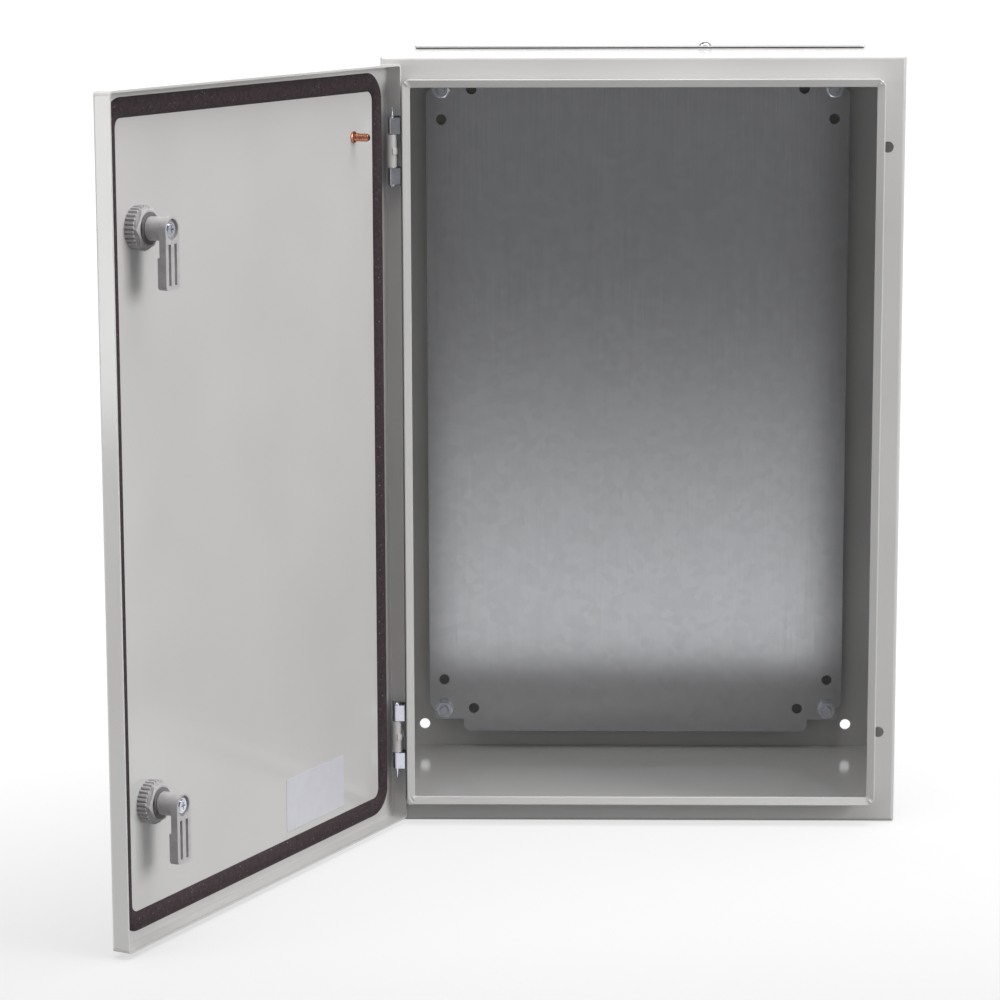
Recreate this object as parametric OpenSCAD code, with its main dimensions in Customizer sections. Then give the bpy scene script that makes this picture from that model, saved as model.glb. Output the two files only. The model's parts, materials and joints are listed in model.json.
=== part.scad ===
// Steel wall enclosure: a folded body with a back, a mounting plate on studs, a gland
// plate on the top, and a door on two concealed hinges with two quarter-turn locks.
// Millimetres. X is to the right, Y to the back, Z up. The origin is on the rear face,
// at the middle of the four wall holes. The door is drawn open, as it rests.

/* [Body] */
// Overall width of the body
body_w = 400; // [360:10:480]
// Overall height of the body
body_h = 600; // [540:10:700]
// Depth of the body, front of the lip to the rear face
body_d = 256; // [210:2:300]
// Thickness of the sheet of the body, the back and the door
sheet = 1.5; // [1.3:0.1:1.6]
// Outside radius of the bend round the front of the body
bend_r = 3; // [2.5:0.1:3.4]
// Outside radius of the four long corners of the body
corner_r = 2.5; // [1.5:0.1:3]
// Distance from the side of the body to the outer face of the lip
lip_in = 16.8; // [16.4:0.1:18]
// Height of the lip in front of the gutter floor
lip_h = 16; // [15:0.5:17]
// How far the lip leans outwards over its height
lip_lean = 1; // [0.6:0.1:1.4]
// Size of the bevel on the outer corners of the lip
lip_bevel = 4.5; // [4.2:0.1:6]
// Width of the return along the inside of the lip
return_w = 4.8; // [4.6:0.1:5.8]
// How far the return falls back at its inner edge
return_back = 2.2; // [1:0.1:3]
// Diameter of the hinge holes in the gutter floor
flange_hole_d = 8.6; // [8.4:0.1:8.8]
// Distance of the hinge holes from the side of the body
flange_hole_in = 13.3; // [13.1:0.1:13.5]
// Height of the spare hinge holes above the middles of the hinges
flange_hole_up = 1.6; // [0:0.1:3]

/* [Back and wall holes] */
// Distance of the wall holes from each side of the body
wall_hole_in = 20; // [19:0.5:24]
// Distance of the wall holes from the top and the bottom
wall_hole_up = 20; // [19:0.5:24]
// Diameter of the wall holes
wall_hole_d = 8.8; // [7:0.2:10]

/* [Mounting plate] */
// Space left each side of the mounting plate, to the side of the body
plate_side = 25; // [24:0.5:27]
// Space left above and below the mounting plate
plate_end = 17.5; // [16:0.5:20]
// Thickness of the mounting plate
plate_t = 2; // [1.5:0.5:3]
// Clear space behind the mounting plate
plate_off = 13.8; // [10:0.2:20]
// Distance of the stud from the side of the mounting plate
stud_in = 12.5; // [12:0.5:14]
// Distance of the stud from the end of the mounting plate
stud_up = 20; // [19:0.5:22]
// Diameter of the studs that hold the mounting plate
stud_d = 8; // [6:0.5:8]
// Length of the stud that shows in front of its nut
stud_show = 4; // [2:0.5:8]
// Spacing of the spare holes from each stud
spare_step = 25; // [22:0.5:28]
// Diameter of the spare holes
spare_d = 8.6; // [6:0.2:9]
// Width of the low ear left at each corner of the plate
ear_w = 29; // [28:0.5:32]
// Height of the step at each corner of the plate
ear_step = 10.5; // [9:0.5:11]

/* [Gland plate] */
// Width of the gland plate
gland_w = 360; // [300:10:360]
// Depth of the gland plate
gland_d = 96; // [80:2:110]
// Distance from the rear face to the middle of the gland plate
gland_back = 64; // [60:1:80]
// Thickness of the gland plate
gland_t = 1.2; // [1:0.1:2]
// Thickness of the seal under the gland plate
gland_seal_t = 0.8; // [0.6:0.1:1.6]
// Width of the seal, and of the rim round the opening
gland_rim = 15; // [13:0.5:18]
// How far the gland screw sits right of the middle
gland_screw_x = 52; // [-100:2:100]
// Radius of the corners of the gland plate
gland_r = 6; // [3:0.5:10]

/* [Hinges] */
// Distance of both hinges from the top and the bottom of the body
hinge_inset = 71; // [66:1:90]
// Distance of the hinge axis from the side of the body
hinge_in = 9.2; // [9.1:0.1:9.4]
// Diameter of the hinge pin
pin_d = 4; // [3.6:0.1:4.2]
// Radial running clearance of the barrel on the pin
pin_play = 0.05; // [0.03:0.01:0.09]
// Outside diameter of the door's barrel
barrel_d = 7.6; // [7.2:0.1:7.8]
// Length of the door's barrel
barrel_l = 24.6; // [20:0.2:28]
// Gap between the barrel and each ear of the bracket
barrel_gap = 0.55; // [0.4:0.05:1]
// Height of one ear of the bracket
knuckle_h = 12.5; // [10:0.5:14]
// Thickness of the strip the bracket is bent from
strip_t = 1.2; // [1:0.1:1.3]
// Height of the pointed end of the pin above its ear
pin_point = 8; // [5:0.5:10]

/* [Door] */
// Angle the door stands open from closed, as drawn
door_open = 116; // [60:0.1:118]
// Widest angle of the door, where its corner meets the gutter floor
door_stop = 120; // [119:0.5:122]
// Gap between the edge of the door and the side of the body
door_gap = 1.5; // [1.4:0.1:1.6]
// Gap above the door, to the top of the body
door_top = 5.5; // [4.5:0.5:7]
// Gap below the door, to the bottom of the body
door_bottom = 3.5; // [3:0.5:5]
// Depth of the fold round the door
door_fold = 14; // [13.8:0.1:14.4]
// How far the fold reaches past the hinge axis
fold_past = 4; // [3.8:0.1:4.2]
// Clearance of the turning fold from the gutter floor
fold_clear = 0.8; // [0.6:0.05:1]
// Outside radius of the bend round the door
door_bend_r = 2.6; // [2.2:0.1:3]
// Radius of the four corners of the door
door_corner = 4; // [3.6:0.1:5]
// Play round each ear in the window of the fold
window_play = 1; // [0.6:0.1:1.6]

/* [Door seal] */
// Width of the foam seal
seal_w = 14; // [13:0.1:14.4]
// Distance of the middle of the seal from the side of the body
seal_in = 18.2; // [18:0.1:18.6]
// Space between the seal and the lip, with the door closed
seal_clear = 0.4; // [0.35:0.05:0.8]
// Radius of the corners of the seal, along its middle
seal_r = 14; // [12:0.5:20]

/* [Locks] */
// Distance of the lock axis from the free edge of the door
lock_in = 48; // [47:0.5:54]
// Distance of the locks from the top and the bottom of the body
lock_inset = 100; // [95:1:130]
// Diameter of the lock body through the door
lock_d = 22; // [20:0.5:22.5]
// Diameter over the teeth of the ring nut
ring_d = 31; // [30:0.5:32]
// Number of teeth on the ring nut
ring_teeth = 30; // [24:1:36]
// Distance from the inside of the door to the outer face of the lever
lever_face = 28.6; // [28.6:0.1:30]
// Thickness of the arm of the lever
lever_t = 5.2; // [4.8:0.1:5.4]
// Width of the lever
lever_w = 17; // [16:0.5:18]
// Reach of the lever from its axis
lever_l = 41; // [38:0.5:42]
// Height of the foot under the end of the lever
foot_h = 1.6; // [1:0.1:1.6]
// Length of the foot of the lever
foot_l = 22; // [16:1:24]
// Radial running clearance of the spindle in the lock body
spindle_play = 0.15; // [0.12:0.01:0.25]

/* [Small parts] */
// Width of the blank plate inside the door
label_w = 85; // [60:1:90]
// Height of the blank plate inside the door
label_h = 40; // [30:1:42]
// Length of the earth stud on the door
earth_l = 13.5; // [10:0.5:16]

/* [Hidden] */
$fn = 48;
half_w = body_w / 2;
half_h = body_h / 2;
y_floor = -(body_d - lip_h);
y_front = -body_d;
wall_x = half_w - wall_hole_in;
wall_z = half_h - wall_hole_up;
hinge_arm = hinge_in - door_gap;
tip_r = sqrt(hinge_arm * hinge_arm + fold_past * fold_past);
corner_swing = (hinge_arm - door_bend_r) * sin(door_stop)
    - (door_fold - fold_past - door_bend_r) * cos(door_stop) + door_bend_r;
hinge_out = max(tip_r + fold_clear, corner_swing + 0.3);
hinge_x = -half_w + hinge_in;
hinge_y = y_floor - hinge_out;
hinge_z = half_h - hinge_inset;
flange_x = half_w - flange_hole_in;
y_skin_out = hinge_y - (door_fold - fold_past);
y_skin_in = y_skin_out + sheet;
y_tip = y_skin_out + door_fold;
seal_h = y_front - y_skin_in - seal_clear;
door_z0 = -half_h + door_bottom;
door_z1 = half_h - door_top;
door_mid = (door_z0 + door_z1) / 2;
door_w = body_w - 2 * door_gap;
door_h = door_z1 - door_z0;
eye_r = pin_d / 2 + strip_t;
ear_reach = lip_in - hinge_in - 0.9;
knuckle_z = barrel_l / 2 + barrel_gap;
bracket_half = knuckle_z + knuckle_h;
lock_x = half_w - door_gap - lock_in;
lock_z = half_h - lock_inset;
y_plate_back = -sheet - plate_off;
y_plate = y_plate_back - plate_t;
plate_w = body_w - 2 * plate_side;
plate_h = body_h - 2 * plate_end;
stud_x = plate_w / 2 - stud_in;
stud_z = plate_h / 2 - stud_up;
washer_t = 1.6;
washer_d = stud_d * 1.9;
nut_t = stud_d * 0.8;
nut_af = stud_d * 1.6;
gland_z = half_h;
lever_back = lever_face - lever_t;
ring_h = 7;
hex_h = 3.4;
collar_top = ring_h + hex_h + 0.9;
shaft_d = 12;
hub_d = 16.4;
drive_w = 6.8;
drive_h = 2.4;

// ---- shapes used by several nodes ----

// A rectangle with round corners, about the origin.
module round_rect(w, h, r) {
    square([w - 2 * r, h], center = true);
    square([w, h - 2 * r], center = true);
    for (sx = [-1, 1])
        for (sy = [-1, 1])
            translate([sx * (w / 2 - r), sy * (h / 2 - r)])
                circle(r);
}

// A rectangle with bevelled corners, about the origin.
module bevel_rect(w, h, c) {
    polygon([
        [-w / 2 + c, -h / 2], [w / 2 - c, -h / 2],
        [w / 2, -h / 2 + c], [w / 2, h / 2 - c],
        [w / 2 - c, h / 2], [-w / 2 + c, h / 2],
        [-w / 2, h / 2 - c], [-w / 2, -h / 2 + c]
    ]);
}

// The point at distance r from p, in direction a.
function polar(p, r, a) = [p[0] + r * cos(a), p[1] + r * sin(a)];

// Points of an arc about p, from angle a to angle b.
function arc(p, r, a, b, steps) =
    [for (i = [0 : steps]) polar(p, r, a + (b - a) * i / steps)];

// A flat shape drawn in X and Z, given a depth from y0 to y1.
module slab(y0, y1) {
    translate([0, y1, 0])
        rotate([90, 0, 0])
            linear_extrude(y1 - y0)
                children();
}

// One length of a folded edge, cut to a mitre at each end.
module mitred(len, k, deep) {
    intersection() {
        linear_extrude(len + 8, center = true)
            children();
        rotate([90, 0, 0])
            linear_extrude(90, center = true)
                polygon([
                    [-2, -(len / 2 + 2 * k)], [deep, -(len / 2 - deep * k)],
                    [deep, len / 2 - deep * k], [-2, len / 2 + 2 * k]
                ]);
    }
}

// A folded edge round a rectangle of w by h, with square corners.
module square_frame(w, h, deep) {
    for (side = [0, 1, 2, 3])
        rotate([0, 90 * side, 0])
            translate([side % 2 == 0 ? -w / 2 : -h / 2, 0, 0])
                mitred(side % 2 == 0 ? h : w, 1, deep)
                    children();
}

// A folded edge round a rectangle of w by h with bevelled corners of size c.
module bevel_frame(w, h, c, deep) {
    k = tan(22.5);
    for (side = [0, 1, 2, 3])
        rotate([0, 90 * side, 0])
            translate([side % 2 == 0 ? -w / 2 : -h / 2, 0, 0])
                mitred((side % 2 == 0 ? h : w) - 2 * c, k, deep)
                    children();
    for (corner = [[-1, 1, 45], [1, 1, 135], [1, -1, 225], [-1, -1, 315]])
        translate([corner[0] * (w / 2 - c / 2), 0, corner[1] * (h / 2 - c / 2)])
            rotate([0, corner[2], 0])
                mitred(c * sqrt(2), k, deep)
                    children();
}

// A quarter of a bent sheet, from the face at u = 0 to the face at v = 0.
module quarter_bend(r, t) {
    translate([r, r])
        intersection() {
            difference() {
                circle(r);
                circle(r - t);
            }
            translate([-r, -r])
                square([r, r]);
        }
}

// A hexagonal nut standing on z = 0, with a bevelled top and a bore.
module hex_nut(af, h, bore) {
    r = af / sqrt(3);
    difference() {
        intersection() {
            cylinder(r = r, h = h, $fn = 6);
            rotate_extrude()
                polygon([
                    [0, 0], [r, 0], [r, h - (r - af / 2) * 0.6],
                    [af / 2 * 0.96, h], [0, h]
                ]);
        }
        translate([0, 0, -1])
            cylinder(d = bore, h = h + 2);
    }
}

// Moves a shape drawn with the door closed to where the door stands.
module on_door() {
    translate([hinge_x, hinge_y, 0])
        rotate([0, 0, -door_open])
            translate([-hinge_x, -hinge_y, 0])
                children();
}

// Lock parts are drawn along +Z from the inside face of the door, lever towards +Y.
module at_lock(side) {
    on_door()
        translate([lock_x, y_skin_in, side * lock_z])
            rotate([-90, 0, 0])
                children();
}

// ---- body ----

// The lip starts inside the gutter floor, leans outwards and turns in at its tip.
module lip_profile() {
    r = sheet / 2;
    tip = [r, -lip_h + r];
    root = [lip_lean + r, sheet * 0.8];
    edge = [tip[0] + return_w, tip[1] + return_back];
    up = atan2(root[1] - tip[1], root[0] - tip[0]);
    over = atan2(edge[1] - tip[1], edge[0] - tip[0]);
    polygon(concat(
        [polar(root, r, up + 90)],
        arc(tip, r, up + 90, over + 270, 6),
        arc(edge, r, over - 90, over + 90, 6),
        [polar(tip, r / sin((up - over) / 2), (up + over) / 2)],
        [polar(root, r, up - 90)]
    ));
}

module body_shell() {
    deep = return_w + sheet;
    root = lip_lean + sheet + 0.3;
    root_in = lip_in + root;
    root_bevel = lip_bevel - (2 - sqrt(2)) * root;
    color([0.81, 0.82, 0.81])
    difference() {
        union() {
            slab(y_floor + bend_r, 0)
                difference() {
                    round_rect(body_w, body_h, corner_r);
                    square([body_w - 2 * sheet, body_h - 2 * sheet], center = true);
                }
            intersection() {
                translate([0, y_floor, 0])
                    square_frame(body_w, body_h, bend_r)
                        quarter_bend(bend_r, sheet);
                slab(y_floor - 1, y_floor + bend_r)
                    round_rect(body_w, body_h, corner_r);
            }
            slab(y_floor, y_floor + sheet)
                difference() {
                    square([body_w - 2 * bend_r, body_h - 2 * bend_r], center = true);
                    bevel_rect(body_w - 2 * root_in, body_h - 2 * root_in, root_bevel);
                }
            translate([0, y_floor, 0])
                bevel_frame(body_w - 2 * lip_in, body_h - 2 * lip_in, lip_bevel, deep)
                    lip_profile();
        }
        for (sx = [-1, 1])
            for (sz = [-1, 1])
                translate([sx * flange_x, y_floor - 1,
                           sz * hinge_z + (sx > 0 ? flange_hole_up : 0)])
                    rotate([-90, 0, 0])
                        cylinder(d = flange_hole_d, h = sheet + 2);
        translate([0, -gland_back, gland_z - sheet - 1])
            linear_extrude(sheet + 2)
                round_rect(gland_w - 2 * gland_rim, gland_d - 2 * gland_rim, gland_r);
        translate([gland_screw_x, -gland_back - gland_d / 2 + gland_rim / 2, gland_z - 5])
            cylinder(d = 7, h = 6);
    }
}

module back_panel() {
    color([0.80, 0.81, 0.80])
    difference() {
        slab(-sheet, 0)
            square([body_w - 2 * sheet, body_h - 2 * sheet], center = true);
        for (sx = [-1, 1])
            for (sz = [-1, 1])
                translate([sx * wall_x, -sheet - 1, sz * wall_z])
                    rotate([-90, 0, 0])
                        cylinder(d = wall_hole_d, h = sheet + 2);
    }
}

// ---- gland plate on the top ----

module gland_outline(inset) {
    translate([0, -gland_back])
        round_rect(gland_w - 2 * inset, gland_d - 2 * inset, gland_r);
}

module gland_screw_at(z) {
    translate([gland_screw_x, -gland_back - gland_d / 2 + gland_rim / 2, z])
        children();
}

module gland_seal() {
    color([0.12, 0.12, 0.12])
    difference() {
        translate([0, 0, gland_z])
            linear_extrude(gland_seal_t)
                difference() {
                    gland_outline(1);
                    gland_outline(gland_rim);
                }
        gland_screw_at(gland_z - 1)
            cylinder(d = 6, h = gland_seal_t + 2);
    }
}

// The plate hooks under the rear rim of the opening with two tongues.
module gland_plate() {
    z0 = gland_z + gland_seal_t;
    rim_y = -gland_back + gland_d / 2 - gland_rim;
    low = gland_z - sheet - gland_t;
    color([0.82, 0.83, 0.82])
    difference() {
        union() {
            translate([0, 0, z0])
                linear_extrude(gland_t)
                    gland_outline(0);
            for (sx = [-1, 1])
                translate([sx * gland_w * 0.28 - 12, 0, 0]) {
                    translate([0, rim_y - 0.4 - gland_t, low])
                        cube([24, gland_t, z0 - low]);
                    translate([0, rim_y - 0.4 - gland_t, low])
                        cube([24, 7, gland_t]);
                }
        }
        gland_screw_at(z0 - 1)
            cylinder(d = 5.4, h = gland_t + 2);
    }
}

module gland_screw() {
    top = gland_z + gland_seal_t + gland_t;
    color([0.72, 0.73, 0.74])
    gland_screw_at(top)
        difference() {
            union() {
                rotate_extrude()
                    intersection() {
                        translate([0, -4.6])
                            circle(7.2);
                        square([5, 2.7]);
                    }
                translate([0, 0, -11])
                    cylinder(d = 4.9, h = 11.2);
            }
            for (a = [0, 90])
                rotate([0, 0, a])
                    translate([-2.6, -0.55, 1.1])
                        cube([5.2, 1.1, 3]);
        }
}

module gland_rivet_nut() {
    under = gland_z - sheet;
    color([0.70, 0.71, 0.72])
    gland_screw_at(under)
        difference() {
            union() {
                translate([0, 0, -1])
                    cylinder(d = 11, h = 1);
                translate([0, 0, -9])
                    cylinder(d = 8, h = 8.5);
            }
            translate([0, 0, -10])
                cylinder(d = 5, h = 11);
        }
}

// ---- mounting plate ----

module at_studs(y) {
    for (sx = [-1, 1])
        for (sz = [-1, 1])
            translate([sx * stud_x, y, sz * stud_z])
                rotate([90, 0, 0])
                    children();
}

module plate_studs() {
    front = plate_off + plate_t + washer_t + nut_t + stud_show;
    color([0.66, 0.67, 0.68])
    at_studs(-sheet)
        rotate_extrude()
            polygon([
                [0, 0], [stud_d / 2 + 3, 0], [stud_d / 2 + 3, plate_off],
                [stud_d / 2 - 0.2, plate_off], [stud_d / 2 - 0.2, front - 0.8],
                [stud_d / 2 - 1, front], [0, front]
            ]);
}

// One corner of the outline, from its side to its end.
function plate_corner() =
    let (w = plate_w / 2, h = plate_h / 2, in = w - ear_w)
    [
        [w, h - 23.4], [w - 4.3, h - 19.1], [w - 4.3, h - ear_step],
        [in, h - ear_step], [in, h - 3.5], [in - 3.5, h]
    ];

function turned(points) = [for (i = [len(points) - 1 : -1 : 0]) points[i]];

function placed(points, sx, sz) = [for (p = points) [sx * p[0], sz * p[1]]];

module mounting_plate() {
    color([0.62, 0.62, 0.60])
    difference() {
        slab(y_plate, y_plate_back)
            polygon(concat(
                plate_corner(),
                turned(placed(plate_corner(), -1, 1)),
                placed(plate_corner(), -1, -1),
                turned(placed(plate_corner(), 1, -1))
            ));
        at_studs(y_plate_back + 1)
            cylinder(d = stud_d + 0.4, h = plate_t + 2);
        for (sx = [-1, 1])
            for (sz = [-1, 1])
                for (step = [[1, 0], [0, 1]])
                    translate([sx * (stud_x - step[0] * spare_step), y_plate_back + 1,
                               sz * (stud_z - step[1] * spare_step)])
                        rotate([90, 0, 0])
                            cylinder(d = spare_d, h = plate_t + 2);
    }
}

module plate_washers() {
    color([0.70, 0.71, 0.73])
    at_studs(y_plate)
        difference() {
            cylinder(d = washer_d, h = washer_t);
            translate([0, 0, -1])
                cylinder(d = stud_d + 0.3, h = washer_t + 2);
        }
}

module plate_nuts() {
    color([0.68, 0.69, 0.71])
    at_studs(y_plate - washer_t)
        hex_nut(nut_af, nut_t, stud_d - 0.2);
}

// ---- hinges ----

// The strip of one ear, drawn about the axis: it rolls round the pin, runs to the
// right in front, and turns back to the gutter floor.
module ear_profile() {
    difference() {
        union() {
            circle(eye_r);
            translate([0, -eye_r])
                square([ear_reach - strip_t, strip_t]);
            translate([ear_reach - strip_t, -eye_r + strip_t])
                circle(strip_t);
            translate([ear_reach - strip_t, -eye_r + strip_t])
                square([strip_t, hinge_out + eye_r - strip_t]);
        }
        circle(pin_d / 2);
    }
}

module hinge_bracket(side) {
    stem_x = flange_hole_in - hinge_in;
    color([0.68, 0.70, 0.76])
    translate([hinge_x, hinge_y, side * hinge_z]) {
        for (up = [0, 1])
            mirror([0, 0, up])
                translate([0, 0, knuckle_z])
                    linear_extrude(knuckle_h)
                        ear_profile();
        translate([ear_reach - 2.7, hinge_out - strip_t, -bracket_half])
            cube([2.7, strip_t, 2 * bracket_half]);
        translate([stem_x, hinge_out, 0])
            rotate([-90, 0, 0]) {
                cylinder(d = flange_hole_d - 0.4, h = sheet);
                cylinder(d = 6, h = sheet + 9);
            }
    }
}

module hinge_nut(side) {
    stem_x = flange_hole_in - hinge_in;
    color([0.68, 0.69, 0.71])
    translate([hinge_x + stem_x, y_floor + sheet, side * hinge_z])
        rotate([-90, 0, 0])
            difference() {
                union() {
                    cylinder(d = 14, h = 1.5);
                    hex_nut(10, 6, 6);
                }
                translate([0, 0, -1])
                    cylinder(d = 6, h = 9);
            }
}

// The point of the pin faces away from the other hinge.
module hinge_pin(side) {
    color([0.80, 0.82, 0.85])
    translate([hinge_x, hinge_y, side * hinge_z])
        mirror([0, 0, side > 0 ? 0 : 1])
            rotate_extrude()
                polygon([
                    [0, -bracket_half - 1.9], [1.9, -bracket_half - 1.9],
                    [2.5, -bracket_half - 1.4], [2.6, -bracket_half],
                    [pin_d / 2, -bracket_half], [pin_d / 2, bracket_half],
                    [1.5, bracket_half + 0.3], [1.5, bracket_half + 2.3],
                    [0.3, bracket_half + pin_point], [0, bracket_half + pin_point]
                ]);
}

// ---- door ----

module door_windows() {
    for (side = [-1, 1])
        for (up = [-1, 1])
            translate([-half_w + door_gap - 1, y_skin_in + 1,
                       side * hinge_z + up * (knuckle_z + knuckle_h / 2)
                       - knuckle_h / 2 - window_play])
                cube([sheet + 2, door_fold, knuckle_h + 2 * window_play]);
    for (side = [-1, 1])
        translate([-half_w + door_gap - 1, hinge_y + 0.5, side * hinge_z - 4.2])
            cube([sheet + 2, 1.8, 8.4]);
}

module door_panel() {
    r = door_bend_r;
    color([0.80, 0.81, 0.80])
    on_door()
        difference() {
            translate([0, 0, door_mid])
                union() {
                    slab(y_skin_out, y_skin_in)
                        square([door_w - 2 * r, door_h - 2 * r], center = true);
                    intersection() {
                        translate([0, y_skin_out, 0])
                            square_frame(door_w, door_h, r)
                                quarter_bend(r, sheet);
                        slab(y_skin_out - 1, y_skin_out + r)
                            round_rect(door_w, door_h, door_corner);
                    }
                    slab(y_skin_out + r, y_tip)
                        difference() {
                            round_rect(door_w, door_h, door_corner);
                            round_rect(door_w - 2 * sheet, door_h - 2 * sheet,
                                       door_corner - sheet);
                        }
                }
            door_windows();
            for (side = [-1, 1])
                translate([lock_x, y_skin_out - 1, side * lock_z])
                    rotate([-90, 0, 0])
                        linear_extrude(sheet + 2)
                            intersection() {
                                circle(d = lock_d + 0.5);
                                square([lock_d - 1.5, lock_d + 2], center = true);
                            }
        }
}

// Foam profile, drawn across its width with its foot on y = 0: a low round bead.
module seal_profile() {
    r = (seal_w * seal_w / 4 + seal_h * seal_h) / (2 * seal_h);
    intersection() {
        translate([0, seal_h - r])
            circle(r);
        translate([-seal_w / 2, 0])
            square([seal_w, seal_h]);
    }
}

module door_seal() {
    run_w = body_w - 2 * seal_in - 2 * seal_r;
    run_h = body_h - 2 * seal_in - 2 * seal_r;
    color([0.25, 0.20, 0.20])
    on_door()
        translate([0, y_skin_in, 0]) {
            for (sx = [-1, 1])
                translate([sx * (half_w - seal_in), 0, 0])
                    linear_extrude(run_h, center = true)
                        seal_profile();
            for (sz = [-1, 1])
                translate([0, 0, sz * (half_h - seal_in)])
                    rotate([0, 90, 0])
                        linear_extrude(run_w, center = true)
                            seal_profile();
            for (corner = [[1, 1, 0], [1, -1, 90], [-1, -1, 180], [-1, 1, 270]])
                translate([corner[0] * run_w / 2, 0, corner[1] * run_h / 2])
                    rotate([0, corner[2], 0])
                        rotate([90, 0, 0])
                            rotate_extrude(angle = 90)
                                translate([seal_r, 0])
                                    mirror([0, 1])
                                        seal_profile();
        }
}

module door_knuckle(side) {
    wall = hinge_arm - sheet;
    color([0.80, 0.81, 0.80])
    on_door()
        translate([hinge_x, hinge_y, side * hinge_z])
            difference() {
                union() {
                    cylinder(d = barrel_d, h = barrel_l, center = true);
                    translate([-wall, -2.9, -barrel_l / 2 + 1])
                        cube([wall - pin_d / 2 - 0.4, 2.6, barrel_l - 2]);
                    rotate([0, 0, 62])
                        translate([barrel_d / 2 - 1.2, -2, -2.4])
                            cube([1.7, 4, 4.8]);
                }
                cylinder(d = pin_d + 2 * pin_play, h = barrel_l + 2, center = true);
            }
}

module earth_stud() {
    color([0.72, 0.45, 0.30])
    on_door()
        translate([-half_w + 53.7, y_skin_in, half_h - 58])
            rotate([-90, 0, 0])
                rotate_extrude()
                    polygon([
                        [0, 0], [4.4, 0], [4.4, 1.2], [2.9, 1.2],
                        [2.9, earth_l - 0.7], [2.2, earth_l], [0, earth_l]
                    ]);
}

module blank_plate() {
    color([0.92, 0.92, 0.94])
    on_door()
        translate([-half_w + 79.5 + label_w / 2, 0, -half_h + 51])
            slab(y_skin_in, y_skin_in + 0.25)
                round_rect(label_w, label_h, 1.5);
}

// ---- locks ----

module lock_body(side) {
    color([0.30, 0.30, 0.31])
    at_lock(side)
        difference() {
            union() {
                translate([0, 0, -sheet - 1 - 5])
                    rotate_extrude() {
                        square([15 - 1.2, 5]);
                        translate([0, 1.2])
                            square([15, 3.8]);
                        translate([13.8, 1.2])
                            circle(1.2);
                    }
                translate([0, 0, -sheet - 1])
                    intersection() {
                        cylinder(d = lock_d, h = sheet + 1 + collar_top);
                        translate([-lock_d / 2 + 1, -lock_d, 0])
                            cube([lock_d - 2, 2 * lock_d, 40]);
                    }
            }
            translate([0, 0, -20])
                cylinder(d = shaft_d + 2 * spindle_play, h = 60);
        }
}

module lock_seal(side) {
    color([0.10, 0.10, 0.10])
    at_lock(side)
        translate([0, 0, -sheet - 1])
            difference() {
                cylinder(d = 29, h = 1);
                translate([0, 0, -1])
                    cylinder(d = lock_d + 0.6, h = 3);
            }
}

// Ring nut: a toothed ring with a hexagon above it.
module lock_ring(side) {
    step = 360 / ring_teeth;
    ro = ring_d / 2;
    ri = ro - 1.6;
    color([0.64, 0.63, 0.64])
    at_lock(side)
        difference() {
            union() {
                linear_extrude(ring_h)
                    polygon([
                        for (i = [0 : ring_teeth - 1])
                            for (p = [[ri, 0.05], [ro, 0.30], [ro, 0.70], [ri, 0.95]])
                                [p[0] * cos((i + p[1]) * step),
                                 p[0] * sin((i + p[1]) * step)]
                    ]);
                translate([0, 0, ring_h])
                    cylinder(r = ri - 0.2, h = 1.2);
                translate([0, 0, ring_h])
                    hex_nut(25.5, hex_h, 1);
            }
            translate([0, 0, -1])
                cylinder(d = lock_d + 0.2, h = 40);
        }
}

// Spindle: keyed front end, shaft, hub and the square that drives the lever.
module lock_spindle(side) {
    front = -sheet - 1 - 5;
    color([0.66, 0.65, 0.66])
    at_lock(side)
        difference() {
            union() {
                translate([0, 0, front + 1.5])
                    cylinder(d = shaft_d, h = collar_top - front);
                translate([0, 0, collar_top + 0.4])
                    cylinder(d = hub_d, h = lever_back - collar_top - 0.4);
                translate([0, 0, lever_back - 0.1])
                    linear_extrude(drive_h + 0.1)
                        square(drive_w, center = true);
            }
            translate([0, 0, front])
                cylinder(d = 9.4, h = 6.5);
            translate([0, 0, lever_back - 8])
                cylinder(d = 4, h = 20);
        }
}

module lever_plan(l) {
    translate([-lever_w / 2, 0])
        square([lever_w, l - 3]);
    translate([-lever_w / 2 + 3, 0])
        square([lever_w - 6, l]);
    for (sx = [-1, 1])
        translate([sx * (lever_w / 2 - 3), l - 3])
            circle(3);
    circle(lever_w / 2);
}

module lock_lever(side) {
    color([0.64, 0.63, 0.64])
    at_lock(side)
        difference() {
            union() {
                translate([0, 0, lever_back])
                    linear_extrude(lever_t)
                        lever_plan(lever_l);
                translate([-lever_w / 2, lever_l - foot_l, lever_back - foot_h])
                    cube([lever_w, foot_l - 3, foot_h + 0.5]);
                translate([0, 0, lever_back - foot_h])
                    linear_extrude(foot_h + 0.5)
                        intersection() {
                            lever_plan(lever_l);
                            translate([-lever_w, lever_l - 4])
                                square([2 * lever_w, 6]);
                        }
            }
            translate([0, 0, lever_back - 1])
                linear_extrude(9)
                    square(drive_w + 0.2, center = true);
            translate([0, 0, lever_back + drive_h])
                cylinder(d = 14.4, h = 9);
            for (sx = [-1, 1])
                translate([sx * 3.6 - 1.5, 10, lever_face - 3])
                    cube([3, 28, 9]);
        }
}

module lock_screw(side) {
    seat = lever_back + drive_h;
    color([0.75, 0.76, 0.78])
    at_lock(side)
        difference() {
            union() {
                translate([0, 0, seat])
                    cylinder(d = 10.8, h = 1.6);
                translate([0, 0, seat + 1.6])
                    cylinder(d = 8.6, h = 0.8);
                translate([0, 0, seat - 9])
                    cylinder(d = 4, h = 9.5);
            }
            for (a = [0, 90])
                rotate([0, 0, a])
                    translate([-2.6, -0.5, seat + 1])
                        cube([5.2, 1, 3]);
        }
}

// ---- nodes ----

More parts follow.
